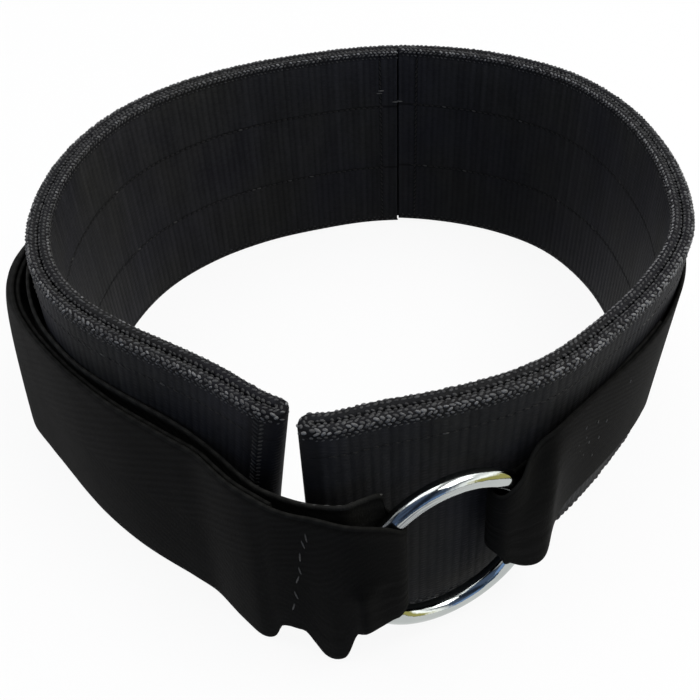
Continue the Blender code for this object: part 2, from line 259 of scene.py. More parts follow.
# Floor and lamp, in metres
FLOOR_REACH = 2.6
FLOOR_LEVEL = -0.0002
FLOOR_SIDES = 48
DOME_ROWS = 10
KEY_PLACE = (0.55, -0.25, 1.0)
KEY_AIM = (0.0, 0.0, 0.05)
KEY_SIZE = 0.6
KEY_ENERGY = 5.5
KEY_COLOUR = (1.0, 0.99, 0.97)

# Floor and room: how much light they give, and the room's tones from the back over the top to the front
FLOOR_TONE = 0.065
FLOOR_GLOW = 0.915
FLOOR_GLOW_COLOUR = (1.0, 1.0, 1.0)
ROOM_STRENGTH = 3.5
BELOW_FLOOR = 0.12
ROOM_LEFT = (0.27, 0.27, 0.28)
ROOM_RIGHT = (0.66, 0.66, 0.65)
ROOM_NAVY = (0.028, 0.040, 0.066)
ROOM_BLUE = (0.08, 0.13, 0.23)
ROOM_SPOTS = (0.55, 0.65, 0.70)
ROOM_WARM = (0.17, 0.155, 0.05)
ROOM_ARC = (
    (0, 0.22), (0.24, 0.36), (0.33, 0.95), (0.37, 1), (0.51, 1), (0.57, ROOM_NAVY),
    (0.86, ROOM_NAVY), (0.90, ROOM_BLUE), (1, ROOM_BLUE),
)

# Brightness of the room overhead from its left, 0, to its right, 1
ROOM_WINDOWS = (
    (0, 0.12), (0.19, 0.14), (0.25, 1), (0.45, 1), (0.53, 0.22), (0.64, 0.22),
    (0.71, 0.9), (0.79, 0.9), (0.86, 0.3),
)

ring_low, ring_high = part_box("steel_ring")
ring_middle = np.array((ring_low + ring_high) / 2) / MM
SHIFT = np.array([ring_middle[0] - RING_CENTRE[0], ring_middle[1] - RING_CENTRE[1], 0.0])


def curve_through(points, places, at):
    """A smooth curve through rows of points at some places, read at others."""
    last = len(places) - 1
    before = np.maximum(np.arange(last + 1) - 1, 0)
    after = np.minimum(np.arange(last + 1) + 1, last)
    column = (-1,) + (1,) * (points.ndim - 1)
    slopes = (points[after] - points[before]) / (places[after] - places[before]).reshape(column)
    i = np.clip(np.searchsorted(places, at) - 1, 0, last - 1)
    gap = (places[i + 1] - places[i]).reshape(column)
    t = (at - places[i]).reshape(column) / gap
    rise = (points[i + 1] - points[i]) / gap
    bend = 3 * rise - 2 * slopes[i] - slopes[i + 1]
    turn = slopes[i] + slopes[i + 1] - 2 * rise
    return points[i] + gap * (slopes[i] * t + bend * t ** 2 + turn * t ** 3)


def smooth(rows, column, at):
    """Values of a table's column at places in its first column, on a smooth curve through the rows."""
    table = np.array(sorted(rows), float)
    at = np.asarray(at, float)
    inside = np.clip(at.ravel(), table[0, 0], table[-1, 0])
    return curve_through(table[:, column], table[:, 0], inside).reshape(at.shape)


def straight(rows, column, at):
    """The same, on straight lines between the rows."""
    table = np.array(sorted(rows), float)
    return np.interp(at, table[:, 0], table[:, column])


def outline(angle):
    radius = smooth(OUTLINE, RADIUS, angle)
    turn = np.radians(angle)
    return np.stack([radius * np.cos(turn), radius * np.sin(turn)], axis=-1)


def wall_place(angle, stand_off, height, ahead=0.0, drawn=False):
    """Places a stand-off outside the belt's outer face, which leans with height."""
    angle, stand_off, height, ahead = np.broadcast_arrays(
        *[np.asarray(value, float) for value in (angle, stand_off, height, ahead)])
    below = BELT_WIDTH - height
    if drawn:
        back = straight(LEAN, BACK_PER_HEIGHT, angle) * below
        angle = angle - np.degrees(back / smooth(OUTLINE, RADIUS, angle))
    travel = outline(angle + ANGLE_STEP) - outline(angle - ANGLE_STEP)
    travel = travel / np.linalg.norm(travel, axis=-1, keepdims=True)
    out = np.stack([travel[..., 1], -travel[..., 0]], axis=-1)
    away = stand_off + straight(LEAN, OUT_PER_HEIGHT, angle) * below
    flat = outline(angle) + out * away[..., None] + travel * ahead[..., None]
    return np.concatenate([flat, height[..., None]], axis=-1)


def ring_place(along, off, height):
    """Places along the ring from its centre, off its middle plane, and above the floor."""
    along, off, height = np.broadcast_arrays(*[np.asarray(value, float) for value in (along, off, height)])
    turn, tilt = math.radians(RING_TURN), math.radians(RING_TILT)
    across = np.array([math.cos(turn), math.sin(turn), 0.0])
    front = np.array([math.sin(turn), -math.cos(turn), 0.0])
    lean = math.tan(tilt) * (height - RING_CENTRE[2])
    spot = np.array(RING_CENTRE) + across * along[..., None] + front * (off - lean)[..., None]
    return np.concatenate([spot[..., :2], height[..., None]], axis=-1)


def unit(vectors):
    return vectors / np.maximum(np.linalg.norm(vectors, axis=-1, keepdims=True), 1e-9)


def level_side(travel):
    """Level unit directions to the right of directions of travel."""
    return unit(np.stack([travel[..., 1], -travel[..., 0], np.zeros(travel.shape[:-1])], axis=-1))


def side_of(middle):
    """Level unit direction out of a band's right side, at each of its middle points."""
    return level_side(np.gradient(middle, axis=0))


def side_by_side(shape, *columns):
    """Values side by side at each point of a grid."""
    return np.stack([np.broadcast_to(column, shape) for column in columns], axis=-1)


def angles_between(start, end, step):
    length = abs(end - start) * math.radians(1) * MEAN_RADIUS
    return np.linspace(start, end, max(int(round(length / step)), 1) + 1)


def ease(value, low, high):
    """0 below low, 1 above high, and a smooth step between."""
    t = np.clip((value - low) / (high - low), 0.0, 1.0)
    return t * t * (3 - 2 * t)


def hill(value, middle, reach):
    """1 at the middle, and falling to nearly 0 at twice the reach on both sides."""
    return np.exp(-((value - middle) / reach) ** 2)


def ripple(along, seed, length):
    """A smooth irregular wave of about unit height, repeatable for a seed."""
    phases = np.random.default_rng(seed).uniform(0, 2 * math.pi, 4)
    shares = (1.0, 1.73, 2.41, 3.9)
    return sum(np.sin(2 * math.pi * along * k / length + p) / k ** 0.7 for k, p in zip(shares, phases)) / 2


def link_mesh(name, points, faces, material):
    """A smooth mesh in the scene, from points in metres."""
    mesh = bpy.data.meshes.new(name)
    mesh.from_pydata(points, [], faces)
    mesh.materials.append(material)
    mesh.shade_smooth()
    piece = bpy.data.objects.new(name, mesh)
    bpy.context.scene.collection.objects.link(piece)
    return piece


def add_mesh(name, points, faces, material, cloth=None, tone=None):
    """A mesh piece that rides with the belt, from points in millimetres.

    cloth holds each point's place along and across the cloth, and how far it is folded, drawn, or for the
    ring streaked with a painted dark reflection.
    """
    piece = link_mesh(name, (points.reshape(-1, 3) + SHIFT) * MM, faces, material)
    add = piece.data.attributes.new
    if cloth is not None:
        add("cloth", "FLOAT_VECTOR", "POINT").data.foreach_set("vector", cloth.astype(np.float32).ravel())
    if tone is not None:
        add("tone", "FLOAT", "POINT").data.foreach_set("value", tone.astype(np.float32).ravel())
    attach(piece, "root")
    return piece


def add_stage(name, points, faces, material):
    piece = link_mesh(name, points, faces, material)
    return piece


def grid_faces(rows, columns, joined=False):
    """Faces of a grid that closes round its columns, and round its rows where joined."""
    i, j = np.meshgrid(np.arange(rows if joined else rows - 1), np.arange(columns), indexing="ij")
    a, b = (i + 1) % rows, (j + 1) % columns
    corners = ((i, j), (a, j), (a, b), (i, b))
    return np.stack([row * columns + column for row, column in corners], axis=-1).reshape(-1, 4).tolist()


def loft_faces(stations, around):
    """Faces of a closed loft of sections, each a ring of points."""
    faces = grid_faces(stations, around)
    faces.append(list(range(around)))
    faces.append([(stations - 1) * around + j for j in range(around)][::-1])
    return faces


# Materials


class Nodes:
    """The nodes of a material or of the world, with short ways to make and join them."""

    def __init__(self, tree, material=None):
        self.tree = tree
        self.material = material
        self.shader = tree.nodes.get("Principled BSDF")

    def add(self, kind, **values):
        node = self.tree.nodes.new(kind)
        for key, value in values.items():
            setattr(node, key, value)
        return node

    def fill(self, socket, value):
        """Give a socket a number, a colour or another node's output."""
        if isinstance(value, (int, float)):
            socket.default_value = value
        elif isinstance(value, tuple):
            socket.default_value = (*value, 1.0)
        else:
            self.tree.links.new(value, socket)

    def math(self, operation, first, second=None):
        node = self.add("ShaderNodeMath", operation=operation)
        self.fill(node.inputs[0], first)
        if second is not None:
            self.fill(node.inputs[1], second)
        return node.outputs[0]

    def times(self, first, second):
        return self.math("MULTIPLY", first, second)

    def sum(self, *parts):
        """Sum of pairs of an output and its weight."""
        total = 0.0
        for value, weight in parts:
            total = self.math("ADD", self.times(value, weight), total)
        return total

    def wave(self, value, pitch):
        """0 to 1 sine wave of a length in millimetres."""
        sine = self.math("SINE", self.times(value, 2 * math.pi / pitch))
        return self.sum((sine, 0.5), (1.0, 0.5))

    def split(self, vector):
        node = self.add("ShaderNodeSeparateXYZ")
        self.fill(node.inputs[0], vector)
        return node.outputs

    def attribute(self, name, output="Fac"):
        return self.add("ShaderNodeAttribute", attribute_name=name).outputs[output]

    def noise(self, scale, detail=2.0, vector=None):
        node = self.add("ShaderNodeTexNoise")
        node.inputs["Scale"].default_value = scale
        node.inputs["Detail"].default_value = detail
        if vector is None:
            vector = self.add("ShaderNodeTexCoord").outputs["Object"]
        self.fill(node.inputs["Vector"], vector)
        return node.outputs["Fac"]

    def stretched_noise(self, x, x_size, y, y_size, detail=2.0):
        """Noise in the plane of two lengths, with features of about the two sizes."""
        place = self.add("ShaderNodeCombineXYZ")
        self.fill(place.inputs[0], self.math("DIVIDE", x, x_size))
        self.fill(place.inputs[1], self.math("DIVIDE", y, y_size))
        return self.noise(1.0, detail, place.outputs[0])

    def distance(self, value, places):
        """How far a value is from the nearest of some places."""
        gaps = [self.math("ABSOLUTE", self.math("SUBTRACT", value, place)) for place in sorted(places)]
        while len(gaps) > 1:
            gaps.append(self.math("MINIMUM", gaps.pop(), gaps.pop()))
        return gaps[0]

    def own_tone(self, number):
        """A random value from 0 to 1 for each whole number."""
        node = self.add("ShaderNodeTexWhiteNoise", noise_dimensions="1D")
        self.fill(node.inputs["W"], number)
        return node.outputs["Value"]

    def ramp(self, value, *stops):
        node = self.add("ShaderNodeValToRGB")
        elements = node.color_ramp.elements
        elements[0].position = stops[0][0]
        elements[1].position = stops[-1][0]
        for place, _ in stops[1:-1]:
            elements.new(place)
        for element, (_, colour) in zip(elements, stops):
            element.color = (*colour, 1.0) if isinstance(colour, tuple) else (colour, colour, colour, 1.0)
        self.fill(node.inputs[0], value)
        return node.outputs[0]

    def mix(self, share, first, second, blend="MIX"):
        node = self.add("ShaderNodeMix", data_type="RGBA", blend_type=blend)
        for socket, value in zip((node.inputs[0], node.inputs[6], node.inputs[7]), (share, first, second)):
            self.fill(socket, value)
        return node.outputs[2]

    def tint(self, colour, shade):
        return self.mix(1.0, colour, shade, "MULTIPLY")

    def grey(self, value):
        node = self.add("ShaderNodeCombineXYZ")
        for socket in node.inputs:
            self.fill(socket, value)
        return node.outputs[0]

    def bump(self, height, distance, normal=None):
        node = self.add("ShaderNodeBump")
        node.inputs["Distance"].default_value = distance
        self.fill(node.inputs["Height"], height)
        if normal is not None:
            self.fill(node.inputs["Normal"], normal)
        return node.outputs[0]

    def finish(self, **values):
        """Fill the shader's sockets and give the material."""
        for key, value in values.items():
            self.fill(self.shader.inputs[key.replace("_", " ")], value)
        return self.material


def new_material(name):
    material = bpy.data.materials.new(name)
    material.use_nodes = True
    return Nodes(material.node_tree, material)


def webbing_material():
    """Upright ribs of uneven tone, each with small knuckles, smooth where the webbing is folded."""
    nodes = new_material("ribbed_webbing")
    along, across, folded = nodes.split(nodes.attribute("cloth", "Vector"))
    past_left = nodes.math("GREATER_THAN", along, LEFT_FOLD_AT)
    outer = nodes.times(past_left, nodes.math("LESS_THAN", along, RIGHT_FOLD_AT))
    inner = nodes.math("SUBTRACT", 1.0, outer)
    to_outer_row = nodes.distance(across, {height for *_, height, outside in STITCH_ROWS if outside})
    to_outer_row = nodes.math("ADD", to_outer_row, OUTER_ROW_OFF)
    to_inner_row = nodes.distance(across, {height for *_, height, outside in STITCH_ROWS if not outside})
    to_row = nodes.sum((nodes.times(to_outer_row, outer), 1.0), (nodes.times(to_inner_row, inner), 1.0))
    uprights = {float(inner_length(angle)) for angle, *_, outside in UPRIGHT_ROWS if not outside}
    to_seam = nodes.math("MINIMUM", to_row, nodes.distance(along, uprights))
    seam = nodes.ramp(nodes.times(to_seam, 0.1), (0.03, 0.42), (0.09, 1.0))
    number = nodes.math("FLOOR", nodes.math("ADD", nodes.math("DIVIDE", along, RIB_PITCH), 0.5))
    odd = nodes.math("MODULO", number, 2.0)
    rib = nodes.math("ABSOLUTE", nodes.math("COSINE", nodes.times(along, math.pi / RIB_PITCH)))
    rib = nodes.times(nodes.math("POWER", rib, 1.4), nodes.sum((odd, -0.3), (1.0, 1.0)))
    knuckle = nodes.wave(nodes.sum((odd, KNUCKLE_PITCH / 2), (across, 1.0)), KNUCKLE_PITCH)
    knuckle = nodes.times(knuckle, rib)
    fine = nodes.noise(1100.0)
    patches = nodes.stretched_noise(along, 9.0, across, 22.0, 3.0)
    flat = nodes.math("SUBTRACT", 1.0, folded)
    streaks = nodes.stretched_noise(along, 2.2, across, 30.0)
    mottle = nodes.stretched_noise(along, 2.4, across, 2.0)
    woven = nodes.sum((rib, 0.12), (knuckle, 0.05), (nodes.own_tone(number), 0.12), (patches, 0.36),
                      (streaks, 0.26), (mottle, 0.27), (fine, 0.14))
    woven = nodes.times(woven, nodes.sum((flat, 0.45), (1.0, 0.55)))
    # Painted shade: the webbing darker within about 4 mm of either edge, in the gaps under the loops
    from_edge = nodes.sum((nodes.math("ABSOLUTE", nodes.sum((across, 1.0), (BELT_WIDTH, -0.5))), -0.1),
                          (BELT_WIDTH, 0.05))
    painted_shade_near_edges = nodes.ramp(from_edge, (0.0, 0.55), (0.28, 0.6), (0.42, 1.0))
    woven = nodes.times(woven, painted_shade_near_edges)
    woven = nodes.times(woven, seam)
    colour = nodes.ramp(woven, (0.15, WEBBING_DARK), (0.52, WEBBING_MIDDLE), (0.95, WEBBING_LIGHT))
    cloudy = nodes.ramp(nodes.noise(22.0, 3.0), (0.35, 0.0), (0.68, 1.0))
    cloudy_tint = nodes.mix(cloudy, WEBBING_COOL, WEBBING_WARM)
    height = nodes.sum((knuckle, 0.3), (fine, 0.4), (mottle, 0.5), (seam, 1.0))
    return nodes.finish(
        Base_Color=nodes.tint(colour, cloudy_tint),
        Normal=nodes.bump(height, 0.0003),
        Roughness=nodes.sum((fine, 0.3), (1.0, 0.42)),
        Specular_IOR_Level=0.04)


def twill_material():
    """Faint slanting lines that mirror at the strap's middle, with a bordered edge and soft creases."""
    nodes = new_material("strap_twill")
    along, across, drawn = nodes.split(nodes.attribute("cloth", "Vector"))
    slope = math.radians(TWILL_SLOPE)
    from_middle = nodes.math("ABSOLUTE", across)
    line = nodes.wave(nodes.sum((from_middle, math.cos(slope)), (along, math.sin(slope))), TWILL_PITCH)
    upper = nodes.ramp(nodes.sum((across, 0.05), (1.0, 0.5)), (0.3, 0.5), (0.7, 1.0))
    line = nodes.times(line, upper)
    line = nodes.times(line, nodes.sum((drawn, -0.85), (1.0, 1.0)))
    thread = nodes.stretched_noise(along, 0.5, across, 2.4, 1.0)
    fine = nodes.noise(1300.0)
    patches = nodes.stretched_noise(along, 30.0, across, 7.0, 3.0)
    woven = nodes.sum((line, 0.18), (thread, 0.28), (fine, 0.32), (patches, 0.36))
    colour = nodes.ramp(woven, (0.2, STRAP_DARK), (0.52, STRAP_MIDDLE), (0.9, STRAP_LIGHT))
    inside = nodes.sum((from_middle, -1 / BORDER_REACH), (1.0, STRAP_WIDTH / 2 / BORDER_REACH))
    border = nodes.ramp(inside, *BORDER_TONES)
    # Painted light and painted shade carried by the tone attribute, on top of the border's tones
    painted_tone_factor = nodes.sum((nodes.attribute("tone"), PAINTED_TONE_GAIN), (1.0, 1.0))
    shade = nodes.tint(border, nodes.grey(nodes.times(painted_tone_factor, BORDER_GAIN)))
    creases = nodes.stretched_noise(along, 30.0, across, 6.5)
    creased = nodes.times(creases, nodes.sum((drawn, 0.9), (1.0, 0.1)))
    folds = nodes.bump(creased, CREASE_BUMP)
    return nodes.finish(
        Base_Color=nodes.tint(colour, shade),
        Normal=nodes.bump(nodes.sum((line, 0.25), (thread, 0.3), (fine, 0.4)), 0.0002, folds),
        Roughness=nodes.sum((fine, 0.3), (1.0, 0.55)),
        Specular_IOR_Level=0.02)


def thread_material(name, dark, light):
    """Twisted thread, lighter or darker by each thread's tone, which on the edge loops also carries painted
    light.
    """
    nodes = new_material(name)
    fine = nodes.noise(1500.0)
    middle = tuple((2 * low + high) / 3 for low, high in zip(dark, light))
    tone = nodes.sum((nodes.attribute("tone"), 0.8), (fine, 0.2))
    return nodes.finish(
        Base_Color=nodes.ramp(tone, (0.1, dark), (0.5, middle), (0.95, light)),
        Normal=nodes.bump(fine, 0.0003),
        Roughness=0.55,
        Specular_IOR_Level=0.15)


def steel_material():
    """Polished steel with faint waviness and fine scratches, and rougher brushed streaks in one part whose
    darker colour paints a dark reflection.
    """
    nodes = new_material("polished_ring_steel")
    cloudy = nodes.noise(45.0)
    scratches = nodes.noise(420.0, 4.0)
    along, around, streaks_and_dark_reflection = nodes.split(nodes.attribute("cloth", "Vector"))
    brushed = nodes.ramp(nodes.stretched_noise(along, 9.0, around, 0.45, 3.0), (0.38, 0.0), (0.62, 1.0))
    brushed = nodes.times(brushed, streaks_and_dark_reflection)
    clean = nodes.ramp(cloudy, (0.3, STEEL_DARK), (0.7, STEEL_LIGHT))
    # Steel colour darkened in the streaks: painted dark reflection
    return nodes.finish(
        Base_Color=nodes.mix(nodes.times(brushed, 0.95), clean, STEEL_PAINTED_DARK_REFLECTION),
        Normal=nodes.bump(scratches, 0.00006, nodes.bump(cloudy, 0.0008)),
        Roughness=nodes.sum((scratches, 0.08), (brushed, 0.16), (1.0, 0.03)),
        Metallic=1.0)


# The belt's webbing


def belt_path():
    """Dense stations of the webbing's middle: length along it, angle, depth, ahead, raised."""
    outer = -PLY / 2
    inner = -PLY * 1.5 - PLY_GAP
    fold = (PLY + PLY_GAP) / 2
    seam_half = math.degrees(SEAM_OPENING / 2 / SEAM_RADIUS)
    turns = np.linspace(0, math.pi, FOLD_ROWS)[1:-1]
    rows = [(a, inner, 0.0, 0.0) for a in angles_between(SEAM_ANGLE + seam_half, LEFT_END_ANGLE, BELT_STEP)]
    rows += [(LEFT_END_ANGLE, inner + fold - fold * math.cos(t), fold * math.sin(t), 0.0) for t in turns]
    rows += [(a, outer, 0.0, 0.0) for a in angles_between(LEFT_END_ANGLE, RIGHT_END_ANGLE, BELT_STEP)]
    rows += [(RIGHT_END_ANGLE, inner + fold + fold * math.cos(t), -fold * math.sin(t), 0.0) for t in turns]
    for a in angles_between(RIGHT_END_ANGLE, SEAM_ANGLE - seam_half, BELT_STEP):
        raised = SEAM_STEP * max(0.0, 1 - (SEAM_ANGLE - a) / SEAM_STEP_REACH) ** 2
        rows.append((a, inner, 0.0, raised))
    table = np.array(rows)
    middle = wall_place(table[:, 0], table[:, 1], LENGTH_HEIGHT, table[:, 2], True)
    steps = np.linalg.norm(np.diff(middle, axis=0), axis=1)
    return np.column_stack([np.concatenate([[0.0], np.cumsum(steps)]), table])


BELT = belt_path()
BELT_LENGTH = BELT[-1, 0]
LEFT_FOLD_AT = float(BELT[np.argmax(BELT[:, 3]), 0])
RIGHT_FOLD_AT = float(BELT[np.argmin(BELT[:, 3]), 0])
FOLD_HALF = math.pi * (PLY + PLY_GAP) / 4 + 0.05

# Where the ribs are pulled flat at each fold: shift of the middle, reach of the flat part, and last reach
LEFT_FLAT = (3.0, 5.5, 9.0)
RIGHT_FLAT = (-1.5, 3.5, 6.0)


def belt_middle(length, height):
    """Points of the webbing's middle at lengths along it and heights across it."""
    angle, depth, ahead, raised = (np.interp(length, BELT[:, 0], BELT[:, k]) for k in (1, 2, 3, 4))
    return wall_place(angle, depth, height + raised, ahead, True)


def belt_frame(length, height):
    """Middle points, directions of travel, and directions out of the right side."""
    length = np.asarray(length, float)
    ahead = belt_middle(length + TRAVEL_STEP, height)
    behind = belt_middle(length - TRAVEL_STEP, height)
    travel = unit(ahead - behind)
    return belt_middle(length, height), travel, level_side(travel)


def belt_section():
    """Places round the webbing's section: height, and share of the half thickness."""
    face = np.linspace(EDGE_ROUNDING, BELT_WIDTH - EDGE_ROUNDING, BELT_ROWS)
    turn = np.linspace(0, math.pi, EDGE_ROWS)[1:-1]
    top = BELT_WIDTH - EDGE_ROUNDING + EDGE_ROUNDING * np.sin(turn)
    low = EDGE_ROUNDING - EDGE_ROUNDING * np.sin(turn)
    heights = np.concatenate([face, top, face[::-1], low])
    widths = np.concatenate([np.ones(BELT_ROWS), np.cos(turn), -np.ones(BELT_ROWS), -np.cos(turn)])
    return heights, widths


def fold_smoothness(length):
    """1 where the webbing is folded round an end and its ribs are pulled flat, else 0."""
    folds = ((LEFT_FOLD_AT, LEFT_FLAT), (RIGHT_FOLD_AT, RIGHT_FLAT))
    pulled = [1 - ease(np.abs(length - at - shift), full, last) for at, (shift, full, last) in folds]
    return np.maximum(*pulled)


def make_belt(material):
    length = BELT[:, 0]
    heights, widths = belt_section()
    middle = belt_middle(length[:, None], heights[None, :])
    rib = np.abs(np.cos(math.pi * length / RIB_PITCH)) ** RIB_ROUNDNESS
    folded = fold_smoothness(length)
    groove = RIB_DEPTH * (1 - rib) * (1 - folded)
    half = PLY / 2 - groove[:, None] * np.ones(len(heights))
    points = middle + side_of(middle) * (widths * half)[..., None]
    cloth = side_by_side(half.shape, length[:, None], heights, folded[:, None])
    faces = loft_faces(len(length), len(heights))
    piece = add_mesh("webbing_belt", points, faces, material, cloth)
    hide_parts("belt_webbing")


def seed_shape(around=6, rings=3):
    """A unit oval bead: its points and faces."""
    points = [(0.0, 0.0, 1.0)]
    for r in range(1, rings + 1):
        polar = math.pi * r / (rings + 1)
        level = math.sin(polar)
        for a in range(around):
            turn = 2 * math.pi * a / around
            points.append((level * math.cos(turn), level * math.sin(turn), math.cos(polar)))
    points.append((0.0, 0.0, -1.0))
    last = 1 + (rings - 1) * around
    tip = 1 + rings * around
    faces = [(0, 1 + a, 1 + (a + 1) % around) for a in range(around)]
    faces += [tuple(1 + corner for corner in face) for face in grid_faces(rings, around)]
    faces += [(last + a, tip, last + (a + 1) % around) for a in range(around)]
    return np.array(points), faces


BEAD_POINTS, BEAD_FACES = seed_shape()


class Threads:
    """Threads gathered row by row, and made into one mesh."""

    def __init__(self):
        self.rows = []

    def add(self, places, ways, outs, size, tones, spread=0.14):
        """size is a thread's length, width and height in millimetres; ways turns along each thread."""
        count = len(places)
        length, width, height = size
        sizes = np.array([height, width, length]) / 2 * (1 + random.uniform(-spread, spread, (count, 3)))
        self.rows.append((places, ways, outs, sizes, np.clip(np.broadcast_to(tones, count), 0.0, 1.0)))

    def make(self, name, material):
        """Makes a bead of each thread. A bead's own axes: x outwards, y across, z along the thread."""
        places, ways, outs, sizes, tones = (np.concatenate(part)[:, None] for part in zip(*self.rows))
        along = unit(ways)
        out = unit(outs - along * (outs * along).sum(-1, keepdims=True))
        cross = np.cross(out, along)
        shape = BEAD_POINTS * sizes
        points = places + shape[..., 2:3] * along + shape[..., 1:2] * cross + shape[..., 0:1] * out
        each = len(BEAD_POINTS)
        firsts = range(0, each * len(places), each)
        faces = [tuple(first + corner for corner in face) for first in firsts for face in BEAD_FACES]
        add_mesh(name, points, faces, material, tone=np.repeat(tones, each))


# Rows of loops round an edge of the webbing: turn round it in degrees from the side between the
# plies, tone, size of a loop, and slant along the edge
OUTER_PLY_LOOPS = (
    (30, 0.22, (2.4, 1.4, 1.3), 0.5),
    (86, 0.30, (2.7, 1.2, 1.0), -0.5),
    (128, 0.62, (2.8, 1.3, 1.2), 0.5),
    (166, 0.60, (2.7, 1.3, 1.1), -0.5),
    (202, 0.46, (2.4, 1.1, 0.9), 0.5),
    (234, 0.30, (1.9, 0.9, 0.7), -0.5),
)
INNER_PLY_LOOPS = (
    (30, 0.18, (2.3, 1.4, 1.3), 0.5),
    (88, 0.22, (2.4, 1.2, 0.9), -0.5),
    (134, 0.58, (2.4, 1.2, 1.0), 0.6),
    (176, 0.32, (2.2, 1.0, 0.8), -0.55),
    (212, 0.20, (1.8, 0.8, 0.6), 0.5),
)
LOOP_PITCH = 2.15
LOWER_LOOPS_RAISED = 0.55
LOWER_LOOPS_TONE = 0.3
# Reach of the painted light on the loops at the right end
PAINTED_LIGHT_END_REACH = 16.0


def make_edge_loops(name, top, material):
    """The looped edge threads of the webbing, along its upper or its lower edge."""
    threads = Threads()
    pitch = LOOP_PITCH if top else RIB_PITCH
    count = int(BELT_LENGTH / pitch)
    for rows, wanted in ((OUTER_PLY_LOOPS, True), (INNER_PLY_LOOPS, False)):
        for row, (turn, tone, size, slant) in enumerate(rows):
            length = (np.arange(count) + 0.5 * (row % 2) + 0.25) * pitch
            outer = (length > LEFT_FOLD_AT) & (length < RIGHT_FOLD_AT)
            length = length[outer == wanted]
            length = length + random.uniform(-0.4, 0.4, len(length))
            angle = math.radians(turn)
            climb = math.sin(angle)
            inside = EDGE_ROUNDING * (1 - climb) if climb > 0 else EDGE_ROUNDING - 2.8 * climb
            share = math.cos(angle) if climb > 0 else math.copysign(1.0, math.cos(angle))
            height = BELT_WIDTH - inside if top else inside + LOWER_LOOPS_RAISED
            middle, travel, side = belt_frame(length, height)
            out = unit(side * math.cos(angle) + UP * (1.0 if top else -1.0) * max(climb, 0.0))
            spot = middle + side * share * PLY / 2 * 0.97 - out * 0.1
            tilt = slant * (1 + random.uniform(-0.8, 0.6, len(length)))
            if top:
                size = (size[0] * pitch / RIB_PITCH + 0.15, size[1] * 0.9, size[2] * 0.9)
            ways = travel + np.cross(travel, out) * tilt[:, None]
            # Painted light: loops lighter towards the right and the back of the belt, and near its right
            # end, with a wider random spread where lighter
            painted_light_at_right_end = hill(length, RIGHT_FOLD_AT, PAINTED_LIGHT_END_REACH)
            own = random.uniform(-1, 1, len(length))
            painted_light_by_side = 1 + 0.22 * np.cos(np.radians(np.interp(length, BELT[:, 0], BELT[:, 1]) - 30))
            contrast = 0.85 + 2.2 * np.maximum(painted_light_by_side - 1, 0)
            tones = tone * painted_light_by_side * (1 + 0.3 * painted_light_at_right_end + contrast * own * np.abs(own)) + 0.05
            if not top:
                tones = tones * LOWER_LOOPS_TONE
            threads.add(spot, ways, out, size, tones, 0.25)
    threads.make(name, material)


def inner_length(angle):
    """Length along the webbing of places on its inner ply, by angle."""
    first = BELT[BELT[:, 0] < LEFT_FOLD_AT - FOLD_HALF]
    last = BELT[BELT[:, 0] > RIGHT_FOLD_AT + FOLD_HALF]
    angle = np.asarray(angle, float)
    left = np.interp(angle, first[:, 1], first[:, 0])
    right = np.interp(angle, last[:, 1], last[:, 0])
    return np.where(angle > SEAM_ANGLE, left, right)


def outer_length(angle):
    """Length along the webbing of places on its outer ply, by angle."""
    outer = BELT[(BELT[:, 0] > LEFT_FOLD_AT + FOLD_HALF) & (BELT[:, 0] < RIGHT_FOLD_AT - FOLD_HALF)]
    return np.interp(angle, outer[::-1, 1], outer[::-1, 0])


# Straight rows of stitches along the belt: first and last angle, height, and whether on the outside
STITCH_ROWS = (
    (-93, 254, 90.3, True),
    (88, 252, 36, False),
    (88, 252, 72, False),
    (-90, 80, 36, False),
    (-90, 80, 72, False),
)
# Upright stitching on the belt: angle, lowest, highest, spacing, slant, tone, and whether on the outside
UPRIGHT_ROWS = (
    (256.7, 60, 99, 1.9, 1.3, 0.17, True),
    (257.6, 60, 99, 1.9, -1.3, 0.20, True),
    (88.2, 5, 97, 2.6, 0.35, 0.10, False),
    (79.6, 5, 97, 2.6, -0.35, 0.08, False),
)
# Ends of thread at the seam: angle and height
THREAD_KNOTS = ((84.6, 74.5), (83.6, 73.4), (88.0, 81.0), (88.4, 79.6))

# Length, width and height of the belt's threads
ROW_STITCH = (2.5, 0.9, 0.8)
UPRIGHT_STITCH = (2.6, 0.8, 0.8)
KNOT = (3.4, 0.7, 0.9)
KNOT_TONE = 0.8


def belt_surface(angle, height, outside):
    """Places on an exposed face of the belt, the direction of travel there, and the direction out."""
    angle, height = np.broadcast_arrays(np.asarray(angle, float), np.asarray(height, float))
    length = outer_length(angle) if outside else inner_length(angle)
    middle, travel, side = belt_frame(length, height)
    return middle - side * PLY / 2, travel, -side


def make_belt_stitches(material):
    threads = Threads()
    for start, end, height, outside in STITCH_ROWS:
        angle = angles_between(start, end, RIB_PITCH)
        height = height + 0.15 * ripple(angle, 11, 70.0)
        spot, travel, out = belt_surface(angle, height, outside)
        tones = 0.02 + 0.45 * (random.uniform(0, 1, len(angle)) > 0.93)
        threads.add(spot - out * 0.1, travel + UP * 0.12, out, ROW_STITCH, tones)
    for at, low, high, step, slant, tone, outside in UPRIGHT_ROWS:
        height = np.arange(low, high, step)
        spot, travel, out = belt_surface(np.full(len(height), at), height, outside)
        tones = tone * (1 + random.uniform(-0.5, 0.6, len(height)))
        threads.add(spot, travel * slant + UP, out, UPRIGHT_STITCH, tones)
    angle, height = np.array(THREAD_KNOTS).T
    spot, travel, out = belt_surface(angle, height, False)
    threads.add(spot, travel, out, KNOT, KNOT_TONE)
    threads.make("belt_stitches", material)


# The strap's cloth


def shares():
    return np.linspace(0, 1, STRAP_FINE_ROWS)


